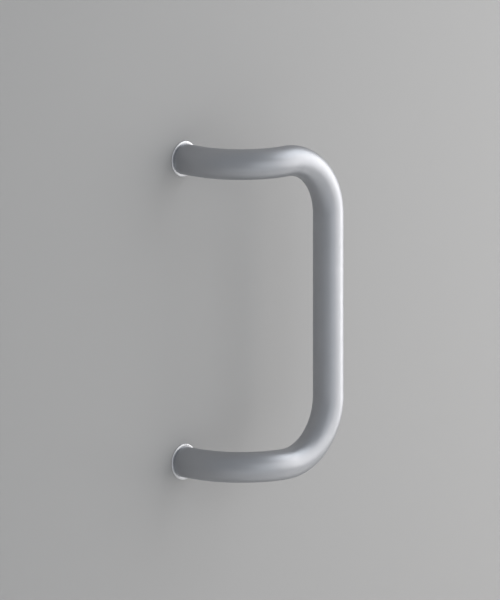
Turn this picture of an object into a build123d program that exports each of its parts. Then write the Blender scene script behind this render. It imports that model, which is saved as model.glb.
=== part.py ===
from build123d import *
from math import radians, tan
import os

# Cranked door pull handle, in millimetres.
# The backs of the two feet lie in the plane y = 0, and the handle stands out from it towards -Y.
# The origin is midway between the two fixing holes, in that plane, and +Z is up.
# The grip is set to one side of the feet, towards +X.

# The bent tube, and the small edge break at its two sawn ends
bar_diameter = 30.0
bar_wall = 3.0
bar_end_break = 0.3

# Distance between the two fixing holes, which is also that between the legs
fixing_centres = 300.0

# Straight stretch of each leg, from the back of its foot to its first bend
root_straight = 20.0

# Bend that turns each leg sideways, and bend from there into the grip, to the centre-line
crank_radius = 60.0
corner_radius = 60.0

# The thin ring under each foot, with a rounded outer edge above a straight rim
ring_overhang = 2.7
ring_edge_land = 0.4
ring_edge_round = 0.6
ring_hole_clearance = 0.1

# The insert pressed into each end of the tube, with a nose that centres the ring
nose_shoulder = 4.0
insert_lead_chamfer = 1.0
bore_beyond_insert = 4.0

# The blind hole in each insert, drilled for an M8 thread
thread_drill_diameter = 6.8
drill_point_angle = 118.0
solid_beyond_thread = 4.0

# Sizes worked out from the ones above
bar_radius = bar_diameter / 2
bore_radius = bar_radius - bar_wall
half_centres = fixing_centres / 2
grip_offset = crank_radius + corner_radius
grip_projection = root_straight + crank_radius
grip_end_height = half_centres - corner_radius
ring_radius = bar_radius + ring_overhang
ring_thickness = ring_edge_land + ring_edge_round
nose_radius = bore_radius - nose_shoulder
insert_end_depth = root_straight - bore_beyond_insert
thread_radius = thread_drill_diameter / 2
thread_depth = insert_end_depth - solid_beyond_thread
drill_point_length = thread_radius / tan(radians(drill_point_angle / 2))

outwards = Vector(0, -1, 0)
sideways = Vector(1, 0, 0)
upwards = Vector(0, 0, 1)

os.makedirs("parts", exist_ok=True)

# One tube, bent four times: it leaves the upper foot square, turns sideways, turns down the
# grip, and comes back to the lower foot the same way
with BuildPart() as handle_bar:
    with BuildLine() as centre_line:
        upper_root = Line(
            (0, -ring_thickness, half_centres),
            (0, -root_straight, half_centres),
        )
        upper_crank = TangentArc(
            upper_root @ 1,
            (crank_radius, -grip_projection, half_centres),
            tangent=outwards,
        )
        upper_corner = TangentArc(
            upper_crank @ 1,
            (grip_offset, -grip_projection, grip_end_height),
            tangent=sideways,
        )
        grip = Line(upper_corner @ 1, (grip_offset, -grip_projection, -grip_end_height))
        lower_corner = TangentArc(
            grip @ 1,
            (crank_radius, -grip_projection, -half_centres),
            tangent=-upwards,
        )
        lower_crank = TangentArc(
            lower_corner @ 1,
            (0, -root_straight, -half_centres),
            tangent=-sideways,
        )
        lower_root = Line(lower_crank @ 1, (0, -ring_thickness, -half_centres))
    with BuildSketch(Plane(origin=upper_root @ 0, z_dir=outwards)):
        Circle(bar_radius)
        Circle(bore_radius, mode=Mode.SUBTRACT)
    sweep(path=centre_line.line)
    foot_edges = handle_bar.edges().filter_by(GeomType.CIRCLE).group_by(Axis.Y)[-1]
    chamfer(foot_edges.group_by(SortBy.RADIUS)[-1], length=bar_end_break)
handle_bar.part.label = "handle_bar"
export_step(handle_bar.part, "parts/handle_bar.step")

for foot_name, foot_height in (("upper", half_centres), ("lower", -half_centres)):
    foot_plane = Plane(origin=(0, 0, foot_height), x_dir=sideways, z_dir=outwards)

    # Flat ring under the tube's end, standing a little proud all round
    with BuildPart() as base_ring:
        with BuildSketch(foot_plane):
            Circle(ring_radius)
            Circle(nose_radius + ring_hole_clearance, mode=Mode.SUBTRACT)
        extrude(amount=ring_thickness)
        front_edges = base_ring.edges().filter_by(GeomType.CIRCLE).group_by(Axis.Y)[0]
        fillet(front_edges.sort_by(SortBy.RADIUS)[-1], radius=ring_edge_round)
    base_ring.part.label = f"{foot_name}_base_ring"
    export_step(base_ring.part, f"parts/{foot_name}_base_ring.step")

    # Turned plug that fills the tube's end, drilled for its thread from the back
    with BuildPart() as threaded_insert:
        with BuildSketch(foot_plane):
            Circle(nose_radius)
        extrude(amount=ring_thickness)
        with BuildSketch(foot_plane.offset(ring_thickness)):
            Circle(bore_radius)
        extrude(amount=insert_end_depth - ring_thickness)
        inner_edges = threaded_insert.edges().filter_by(GeomType.CIRCLE).group_by(Axis.Y)[0]
        chamfer(inner_edges, length=insert_lead_chamfer)
        with BuildSketch(Plane(origin=(0, 0, foot_height), x_dir=outwards, z_dir=upwards)):
            with BuildLine():
                Polyline(
                    (0, 0),
                    (0, thread_radius),
                    (thread_depth, thread_radius),
                    (thread_depth + drill_point_length, 0),
                    close=True,
                )
            make_face()
        revolve(axis=Axis((0, 0, foot_height), outwards), mode=Mode.SUBTRACT)
    threaded_insert.part.label = f"{foot_name}_threaded_insert"
    export_step(threaded_insert.part, f"parts/{foot_name}_threaded_insert.step")
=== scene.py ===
import math

import bmesh
import bpy
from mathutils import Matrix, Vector


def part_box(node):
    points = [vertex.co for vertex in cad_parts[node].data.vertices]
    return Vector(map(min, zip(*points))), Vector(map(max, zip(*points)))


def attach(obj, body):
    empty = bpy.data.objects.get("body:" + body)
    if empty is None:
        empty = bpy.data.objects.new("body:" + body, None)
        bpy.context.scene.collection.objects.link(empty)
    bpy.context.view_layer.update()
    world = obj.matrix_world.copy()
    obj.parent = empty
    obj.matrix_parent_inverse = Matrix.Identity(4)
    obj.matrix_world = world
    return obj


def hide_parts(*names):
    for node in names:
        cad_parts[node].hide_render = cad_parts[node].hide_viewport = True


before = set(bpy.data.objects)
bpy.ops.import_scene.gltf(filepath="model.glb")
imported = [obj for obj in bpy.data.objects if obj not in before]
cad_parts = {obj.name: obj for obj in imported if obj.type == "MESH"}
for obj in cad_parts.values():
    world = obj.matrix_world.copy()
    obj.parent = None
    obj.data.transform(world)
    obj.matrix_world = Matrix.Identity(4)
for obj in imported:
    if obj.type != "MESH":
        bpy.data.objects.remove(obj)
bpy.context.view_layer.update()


# The bar is one length of round aluminium tube, bent four times over a former. Its two ends are
# sawn square and their outer edges broken, and then it is blasted to a fine matt, etched and
# anodised in its own silver.
bar_radius = 0.015
bar_wall = 0.003
bore_radius = bar_radius - bar_wall
bend_radius = 0.060
root_straight = 0.020
foot_height = 0.150
foot_break = 0.0003
_, bar_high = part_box("handle_bar")
foot_end_y = bar_high.y
grip_x = 2 * bend_radius
grip_y = -root_straight - bend_radius
outwards = Vector((0, -1, 0))
upwards = Vector((0, 0, 1))
bar_sides = 96
outer_bend_steps = 72
bore_bend_steps = 24
straight_steps = 4
bar_crease = math.radians(35)


def straight_run(start, end):
    """Places and directions along a straight stretch of tube, without its far end."""
    direction = (end - start).normalized()
    return [(start.lerp(end, i / straight_steps), direction) for i in range(straight_steps)]


def quarter_bend(centre, arm, turn_towards, steps):
    """Places and directions along a bend that starts at the end of the arm, without its far end."""
    run = []
    for i in range(steps):
        angle = math.pi / 2 * i / steps
        place = centre + arm * math.cos(angle) + turn_towards * math.sin(angle)
        direction = turn_towards * math.cos(angle) - arm * math.sin(angle)
        run.append((place, direction.normalized()))
    return run


def bar_line(bend_steps):
    """The tube's centre-line from the upper foot, round the grip, to the lower foot."""
    out = outwards * bend_radius
    across = Vector((bend_radius, 0, 0))
    up = upwards * bend_radius
    upper_foot = Vector((0, foot_end_y, foot_height))
    lower_foot = Vector((0, foot_end_y, -foot_height))
    upper_root = Vector((0, -root_straight, foot_height))
    lower_root = Vector((0, -root_straight, -foot_height))
    grip_top = Vector((grip_x, grip_y, foot_height - bend_radius))
    grip_bottom = Vector((grip_x, grip_y, bend_radius - foot_height))
    line = straight_run(upper_foot, upper_root)
    line += quarter_bend(upper_root + across, -across, out, bend_steps)
    line += quarter_bend(grip_top - across, up, across, bend_steps)
    line += straight_run(grip_top, grip_bottom)
    line += quarter_bend(grip_bottom - across, across, -up, bend_steps)
    line += quarter_bend(lower_root + across, out, -across, bend_steps)
    line += straight_run(lower_root, lower_foot)
    line.append((lower_foot, -outwards))
    return line


def tube_skin(bm, unbent, line, radius, end_inset):
    """Rings of corners round the centre-line, with the place each has on the tube before bending."""
    rings = []
    side = upwards
    travelled = 0.0
    last_place, _ = line[0]
    for number, (place, direction) in enumerate(line):
        travelled += (place - last_place).length
        last_place = place
        side = (side - direction * side.dot(direction)).normalized()
        other_side = direction.cross(side)
        at_end = number in (0, len(line) - 1)
        radius_here = radius - end_inset if at_end else radius
        ring = []
        for i in range(bar_sides):
            angle = math.tau * i / bar_sides
            spoke = side * math.cos(angle) + other_side * math.sin(angle)
            corner = bm.verts.new(place + spoke * radius_here)
            corner[unbent] = (radius * math.cos(angle), radius * math.sin(angle), travelled)
            ring.append(corner)
        rings.append(ring)
    return rings


def bridge(bm, rings):
    """Joins each ring of corners to the next one with a band of faces."""
    for ring, next_ring in zip(rings, rings[1:]):
        for i in range(len(ring)):
            j = (i + 1) % len(ring)
            bm.faces.new((ring[i], ring[j], next_ring[j], next_ring[i]))


def finished_piece(name, bm, crease_angle):
    """A smooth-shaded piece from its faces, with edges sharper than the crease angle kept crisp."""
    bmesh.ops.recalc_face_normals(bm, faces=bm.faces)
    mesh = bpy.data.meshes.new(name)
    bm.to_mesh(mesh)
    bm.free()
    mesh.shade_smooth()
    mesh.set_sharp_from_angle(angle=crease_angle)
    piece = bpy.data.objects.new(name, mesh)
    bpy.context.scene.collection.objects.link(piece)
    return piece


outer_line = bar_line(outer_bend_steps)
first_place, first_direction = outer_line[0]
last_place, last_direction = outer_line[-1]
outer_line.insert(1, (first_place + first_direction * foot_break, first_direction))
outer_line.insert(-1, (last_place - last_direction * foot_break, last_direction))
bar_mesh = bmesh.new()
unbent_layer = bar_mesh.verts.layers.float_vector.new("unbent")
outer_rings = tube_skin(bar_mesh, unbent_layer, outer_line, bar_radius, foot_break)
bore_rings = tube_skin(bar_mesh, unbent_layer, bar_line(bore_bend_steps), bore_radius, 0.0)
bridge(bar_mesh, outer_rings)
bridge(bar_mesh, bore_rings)
bridge(bar_mesh, [bore_rings[0], outer_rings[0]])
bridge(bar_mesh, [outer_rings[-1], bore_rings[-1]])
bar = finished_piece("bent_tube_bar", bar_mesh, bar_crease)

noise_low = 0.3
noise_high = 0.7
silver_shade = (0.450, 0.460, 0.484, 1)
silver_light = (0.480, 0.489, 0.513, 1)
silver_at_rim = (0.88, 0.885, 0.89, 1)
silver_smoothest = 0.40
silver_roughest = 0.45
clouds_per_metre = 22
cloud_detail = 3
patches_per_metre = 140
patch_detail = 4
grains_per_metre = 4200
grain_detail = 3
grain_height = 0.000022
lines_per_metre = 2200
line_detail = 2
line_stretch = 0.04
line_height = 0.000014


def new_material(name):
    """A node material, with its tree and its shader."""
    material = bpy.data.materials.new(name)
    material.use_nodes = True
    return material, material.node_tree, material.node_tree.nodes["Principled BSDF"]


def piece_coordinates(tree, attribute, stretch):
    """The coordinates stored in the piece's corners, with the third one multiplied by stretch."""
    stored = tree.nodes.new("ShaderNodeAttribute")
    stored.attribute_name = attribute
    mapping = tree.nodes.new("ShaderNodeMapping")
    mapping.inputs["Scale"].default_value = (1, 1, stretch)
    tree.links.new(stored.outputs["Vector"], mapping.inputs["Vector"])
    return mapping.outputs["Vector"]


def noise(tree, coordinates, lumps_per_metre, detail):
    """A cloudy pattern around a half, of lumps with that many layers of finer lumps on them."""
    texture = tree.nodes.new("ShaderNodeTexNoise")
    texture.inputs["Scale"].default_value = lumps_per_metre
    texture.inputs["Detail"].default_value = detail
    tree.links.new(coordinates, texture.inputs["Vector"])
    return texture.outputs["Fac"]


def spread(tree, pattern, low, high):
    """The range in which nearly all of a noise pattern lies, brought to lie between low and high."""
    mapped = tree.nodes.new("ShaderNodeMapRange")
    mapped.inputs["From Min"].default_value = noise_low
    mapped.inputs["From Max"].default_value = noise_high
    mapped.inputs["To Min"].default_value = low
    mapped.inputs["To Max"].default_value = high
    tree.links.new(pattern, mapped.inputs["Value"])
    return mapped.outputs["Result"]


def mix_socket(sockets, identifier):
    """A mix node's socket by its identifier, because several of them share a name."""
    return next(socket for socket in sockets if socket.identifier == identifier)


def tint(tree, pattern, first_colour, second_colour):
    """A colour that drifts between two close ones with the pattern."""
    mix = tree.nodes.new("ShaderNodeMix")
    mix.data_type = "RGBA"
    mix_socket(mix.inputs, "A_Color").default_value = first_colour
    mix_socket(mix.inputs, "B_Color").default_value = second_colour
    tree.links.new(spread(tree, pattern, 0, 1), mix_socket(mix.inputs, "Factor_Float"))
    return mix_socket(mix.outputs, "Result_Color")


def relief(tree, pattern, height, under=None):
    """A bump of that height in metres, on top of another bump if there is one."""
    bump = tree.nodes.new("ShaderNodeBump")
    bump.inputs["Distance"].default_value = height
    tree.links.new(pattern, bump.inputs["Height"])
    if under is not None:
        tree.links.new(under, bump.inputs["Normal"])
    return bump.outputs["Normal"]


def finish_metal(tree, shader, colour, roughness, surface):
    """Gives a metal its colour, its roughness and the relief of its surface."""
    shader.inputs["Metallic"].default_value = 1.0
    tree.links.new(colour, shader.inputs["Base Color"])
    tree.links.new(roughness, shader.inputs["Roughness"])
    tree.links.new(surface, shader.inputs["Normal"])


anodised, anodised_tree, anodised_shader = new_material("satin_anodised_aluminium")
anodised_shader.inputs["Specular Tint"].default_value = silver_at_rim
even = piece_coordinates(anodised_tree, "unbent", 1)
along = piece_coordinates(anodised_tree, "unbent", line_stretch)
clouds = noise(anodised_tree, even, clouds_per_metre, cloud_detail)
patches = noise(anodised_tree, even, patches_per_metre, patch_detail)
blast_grain = noise(anodised_tree, even, grains_per_metre, grain_detail)
drawing_lines = noise(anodised_tree, along, lines_per_metre, line_detail)
blasted = relief(anodised_tree, blast_grain, grain_height)
finish_metal(
    anodised_tree,
    anodised_shader,
    tint(anodised_tree, clouds, silver_shade, silver_light),
    spread(anodised_tree, patches, silver_smoothest, silver_roughest),
    relief(anodised_tree, drawing_lines, line_height, blasted),
)
bar.data.materials.append(anodised)
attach(bar, "root")
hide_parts("handle_bar")


# A thin ring lies under each foot. It is turned from aluminium rod with a low crown on its outer
# edge, anodised with the bar, and held only by the bolt that pulls the foot in.
ring_radius = 0.0177
ring_hole_radius = 0.0081
ring_height = -foot_end_y
ring_rim_height = 0.0003
ring_sides = 128
crown_steps = 8
ring_crease = math.radians(40)
feet = (("upper", foot_height), ("lower", -foot_height))


def crown_rows():
    """The ring's radius and depth at each row, from its hole over its seat and crown to its back."""
    rows = [(ring_hole_radius, 0), (ring_hole_radius, ring_height)]
    for i in range(crown_steps + 1):
        angle = math.pi / 2 * i / crown_steps
        radius = bar_radius + (ring_radius - bar_radius) * math.sin(angle)
        depth = ring_rim_height + (ring_height - ring_rim_height) * math.cos(angle)
        rows.append((radius, depth))
    rows.append((ring_radius, 0))
    return rows


def turned_ring(bm, turned, radii, depth, foot_z):
    """Corners round a foot's axis, from the radius at each side and the depth in from its back.

    The place that each corner keeps for its finish is its radius, its depth and the cosine of its
    angle, which comes back to where it began after a turn, so the turning marks have no seam.
    """
    ring = []
    for i, radius in enumerate(radii):
        angle = math.tau * i / len(radii)
        x = radius * math.cos(angle)
        z = foot_z + radius * math.sin(angle)
        corner = bm.verts.new((x, -depth, z))
        corner[turned] = (radius, depth, math.cos(angle))
        ring.append(corner)
    return ring


ring_shade = (0.60, 0.608, 0.625, 1)
ring_light = (0.66, 0.665, 0.677, 1)
ring_smoothest = 0.28
ring_roughest = 0.36
ring_clouds_per_metre = 160
ring_cloud_detail = 3
ring_cloud_stretch = 0.005
turning_marks_per_metre = 5200
turning_mark_detail = 2
turning_mark_stretch = 0.0005
turning_mark_height = 0.000004

ring_metal, ring_tree, ring_shader = new_material("turned_satin_aluminium")
round_ring = piece_coordinates(ring_tree, "turned", turning_mark_stretch)
over_ring = piece_coordinates(ring_tree, "turned", ring_cloud_stretch)
turning_marks = noise(ring_tree, round_ring, turning_marks_per_metre, turning_mark_detail)
ring_clouds = noise(ring_tree, over_ring, ring_clouds_per_metre, ring_cloud_detail)
finish_metal(
    ring_tree,
    ring_shader,
    tint(ring_tree, ring_clouds, ring_shade, ring_light),
    spread(ring_tree, turning_marks, ring_smoothest, ring_roughest),
    relief(ring_tree, turning_marks, turning_mark_height),
)

for foot, foot_z in feet:
    ring_mesh = bmesh.new()
    turned_layer = ring_mesh.verts.layers.float_vector.new("turned")
    crown_rings = [
        turned_ring(ring_mesh, turned_layer, [radius] * ring_sides, depth, foot_z)
        for radius, depth in crown_rows()
    ]
    bridge(ring_mesh, crown_rings + crown_rings[:1])
    ring = finished_piece(foot + "_crowned_ring", ring_mesh, ring_crease)
    ring.data.materials.append(ring_metal)
    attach(ring, "root")
    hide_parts(foot + "_base_ring")


# Inside each end of the tube is a turned and zinc-plated steel plug, pressed in and glued. Its nose
# passes through the ring and centres it, and its blind M8 thread takes the bolt from behind.
plug_radius = bore_radius
plug_end_depth = 0.016
plug_chamfer = 0.001
nose_radius = 0.008
nose_break = 0.0003
thread_minor_radius = 0.0034
thread_major_radius = 0.0040
thread_pitch = 0.00125
thread_end_depth = 0.012
thread_crest_share = 0.12
thread_flank_share = 0.75
thread_mouth_depth = 0.0006
drill_half_angle = math.radians(59)
drill_point_depth = thread_end_depth + thread_minor_radius / math.tan(drill_half_angle)
centre_radius = 0.000068
rows_per_turn = 8
plug_sides = 64
plug_crease = math.radians(30)


def thread_radius(depth, turn):
    """The tapped hole's radius at a depth and part of a turn, with its groove and its open mouth."""
    phase = (depth / thread_pitch - turn) % 1.0
    from_crest = 1.0 - abs(2.0 * phase - 1.0)
    cut = min(1.0, max(0.0, (from_crest - thread_crest_share) / thread_flank_share))
    run_out = min(1.0, max(0.0, (thread_end_depth - depth) / thread_pitch))
    groove = (thread_major_radius - thread_minor_radius) * cut * run_out
    mouth = thread_mouth_depth - depth
    return thread_minor_radius + max(groove, mouth)


def plug_rows():
    """The plug's radii and depth at each row, from the drill's point out along the thread, round
    the nose and back along the outside to its inner end."""
    rows = [([centre_radius] * plug_sides, drill_point_depth)]
    thread_rows = round(thread_end_depth / thread_pitch * rows_per_turn)
    for i in range(thread_rows + 1):
        depth = thread_end_depth * (1 - i / thread_rows)
        rows.append(([thread_radius(depth, side / plug_sides) for side in range(plug_sides)], depth))
    outside = [
        (nose_radius - nose_break, 0),
        (nose_radius, nose_break),
        (nose_radius, ring_height),
        (plug_radius, ring_height),
        (plug_radius, plug_end_depth - plug_chamfer),
        (plug_radius - plug_chamfer, plug_end_depth),
        (centre_radius, plug_end_depth),
    ]
    rows += [([radius] * plug_sides, depth) for radius, depth in outside]
    return rows


zinc_shade = (0.52, 0.53, 0.52, 1)
zinc_light = (0.62, 0.62, 0.58, 1)
zinc_smoothest = 0.26
zinc_roughest = 0.40
zinc_clouds_per_metre = 420
zinc_cloud_detail = 4
zinc_cloud_stretch = 0.0025
tool_marks_per_metre = 4200
tool_mark_detail = 2
tool_mark_stretch = 0.0005
tool_mark_height = 0.000008

plated, plated_tree, plated_shader = new_material("zinc_plated_turned_steel")
round_plug = piece_coordinates(plated_tree, "turned", tool_mark_stretch)
over_plug = piece_coordinates(plated_tree, "turned", zinc_cloud_stretch)
tool_marks = noise(plated_tree, round_plug, tool_marks_per_metre, tool_mark_detail)
plating = noise(plated_tree, over_plug, zinc_clouds_per_metre, zinc_cloud_detail)
finish_metal(
    plated_tree,
    plated_shader,
    tint(plated_tree, plating, zinc_shade, zinc_light),
    spread(plated_tree, plating, zinc_smoothest, zinc_roughest),
    relief(plated_tree, tool_marks, tool_mark_height),
)

for foot, foot_z in feet:
    plug_mesh = bmesh.new()
    turned_layer = plug_mesh.verts.layers.float_vector.new("turned")
    plug_rings = [
        turned_ring(plug_mesh, turned_layer, radii, depth, foot_z)
        for radii, depth in plug_rows()
    ]
    bridge(plug_mesh, plug_rings)
    plug_mesh.faces.new(plug_rings[0])
    plug_mesh.faces.new(plug_rings[-1])
    plug = finished_piece(foot + "_tapped_plug", plug_mesh, plug_crease)
    plug.data.materials.append(plated)
    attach(plug, "root")
    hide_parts(foot + "_threaded_insert")


# The handle is shown on a plain pale wall over a plain pale floor. Neither is part of it. The
# wall is open behind the two rings and clear from its back, so that the feet show from there.
wall_y = 0.0002
wall_half_width = 2.0
wall_top = 1.6
wall_colour = (0.450, 0.446, 0.442, 1)
ring_lap = 0.0002
opening_radius = ring_radius - ring_lap
opening_sides = 64
floor_z = -1.0
floor_half_width = 9.0
floor_colour = (0.88, 0.875, 0.865, 1)
paint_roughness = 0.85


def matt_paint(name, colour):
    """Plain matt paint that shows on the face's front and is clear from its back."""
    material, tree, shader = new_material(name)
    shader.inputs["Base Color"].default_value = colour
    shader.inputs["Roughness"].default_value = paint_roughness
    clear = tree.nodes.new("ShaderNodeBsdfTransparent")
    facing = tree.nodes.new("ShaderNodeNewGeometry")
    choice = tree.nodes.new("ShaderNodeMixShader")
    from_back, front, back = choice.inputs
    tree.links.new(facing.outputs["Backfacing"], from_back)
    tree.links.new(shader.outputs["BSDF"], front)
    tree.links.new(clear.outputs["BSDF"], back)
    tree.links.new(choice.outputs["Shader"], tree.nodes["Material Output"].inputs["Surface"])
    return material


def ring_opening(foot_z):
    """The edge of the wall's opening behind a ring, which the ring laps over a little."""
    corners = []
    for i in range(opening_sides):
        angle = math.tau * i / opening_sides
        x = opening_radius * math.cos(angle)
        z = foot_z + opening_radius * math.sin(angle)
        corners.append((x, wall_y, z))
    return corners


def stage_sheet(name, outlines, facing, material):
    """A flat staged surface inside its outlines, whose front looks along the facing direction."""
    bm = bmesh.new()
    edges = []
    for outline in outlines:
        corners = [bm.verts.new(place) for place in outline]
        edges += [bm.edges.new((corners[i - 1], corners[i])) for i in range(len(corners))]
    bmesh.ops.triangle_fill(bm, edges=edges, use_beauty=True)
    for face in bm.faces:
        face.normal_update()
        if face.normal.dot(facing) < 0:
            face.normal_flip()
    mesh = bpy.data.meshes.new(name)
    bm.to_mesh(mesh)
    bm.free()
    mesh.materials.append(material)
    sheet = bpy.data.objects.new(name, mesh)
    bpy.context.scene.collection.objects.link(sheet)


wall_outline = [
    (-wall_half_width, wall_y, floor_z),
    (wall_half_width, wall_y, floor_z),
    (wall_half_width, wall_y, wall_top),
    (-wall_half_width, wall_y, wall_top),
]
openings = [ring_opening(foot_z) for _, foot_z in feet]
floor_outline = [
    (-floor_half_width, -floor_half_width, floor_z),
    (floor_half_width, -floor_half_width, floor_z),
    (floor_half_width, floor_half_width, floor_z),
    (-floor_half_width, floor_half_width, floor_z),
]
wall_paint = matt_paint("pale_wall", wall_colour)
floor_paint = matt_paint("pale_floor", floor_colour)
stage_sheet("backdrop_wall", [wall_outline] + openings, outwards, wall_paint)
stage_sheet("floor", [floor_outline], upwards, floor_paint)


# Six soft boxes light the handle. Three stand in front of it round to its right, each one brighter
# than the one before, one hangs above them, and two weak ones lie low. The room adds an even,
# slightly cool light from all round.
box_distance = 1.7
warm_tint = (1.0, 0.975, 0.955)
cool_tint = (0.97, 1.0, 1.03)
room_tint = (0.965, 1.0, 1.04, 1)
room_level = 0.40


def direction_at(azimuth, elevation):
    """The direction from the handle to a place at those two angles, in degrees from its front."""
    round_about = math.radians(azimuth)
    up_by = math.radians(elevation)
    return Vector((
        math.sin(round_about) * math.cos(up_by),
        -math.cos(round_about) * math.cos(up_by),
        math.sin(up_by),
    ))


def soft_box(name, colour, azimuth, elevation, width, height, power):
    """A soft box that faces the handle from that side and isn't seen itself."""
    lamp_data = bpy.data.lights.new(name, "AREA")
    lamp_data.shape = "RECTANGLE"
    lamp_data.size = width
    lamp_data.size_y = height
    lamp_data.energy = power
    lamp_data.color = colour
    lamp = bpy.data.objects.new(name, lamp_data)
    lamp_side = direction_at(azimuth, elevation)
    lamp.location = lamp_side * box_distance
    lamp.rotation_euler = (-lamp_side).to_track_quat("-Z", "Y").to_euler()
    lamp.visible_camera = False
    bpy.context.scene.collection.objects.link(lamp)


soft_box("key_box", warm_tint, azimuth=74, elevation=4.5, width=1.2, height=1.48, power=13.2)
soft_box("front_right_box", warm_tint, azimuth=34, elevation=4.5, width=1.2, height=1.48, power=6.4)
soft_box("front_box", cool_tint, azimuth=-6, elevation=4.5, width=1.2, height=1.48, power=2.5)
soft_box("high_box", cool_tint, azimuth=64, elevation=42, width=1.8, height=0.74, power=6.4)
soft_box("low_left_box", cool_tint, azimuth=-26, elevation=-27, width=2.4, height=0.40, power=1.1)
soft_box("low_right_box", warm_tint, azimuth=64, elevation=-27, width=1.8, height=0.40, power=0.5)

room = bpy.data.worlds.new("soft_room")
bpy.context.scene.world = room
room.use_nodes = True
room_light = room.node_tree.nodes["Background"]
room_light.inputs["Color"].default_value = room_tint
room_light.inputs["Strength"].default_value = room_level


# The camera looks at the handle from its left and a little above. Its view is parallel, so that
# the legs come out as long as each other and the two sides of the grip don't draw together.
camera_azimuth = -46.66
camera_elevation = 10.58
camera_distance = 1.2
frame_height = 0.58436
frame_centre_right = 0.06438
frame_centre_up = 0.01008

camera_data = bpy.data.cameras.new("camera")
camera_data.type = "ORTHO"
camera_data.ortho_scale = frame_height
camera = bpy.data.objects.new("camera", camera_data)
camera_back = direction_at(camera_azimuth, camera_elevation)
camera_right = upwards.cross(camera_back).normalized()
camera_up = camera_back.cross(camera_right)
camera.location = (
    camera_right * frame_centre_right + camera_up * frame_centre_up + camera_back * camera_distance
)
camera.rotation_mode = "QUATERNION"
camera.rotation_quaternion = (-camera_back).to_track_quat("-Z", "Y")
bpy.context.scene.collection.objects.link(camera)
bpy.context.scene.camera = camera
bpy.context.scene.view_settings.view_transform = "Standard"
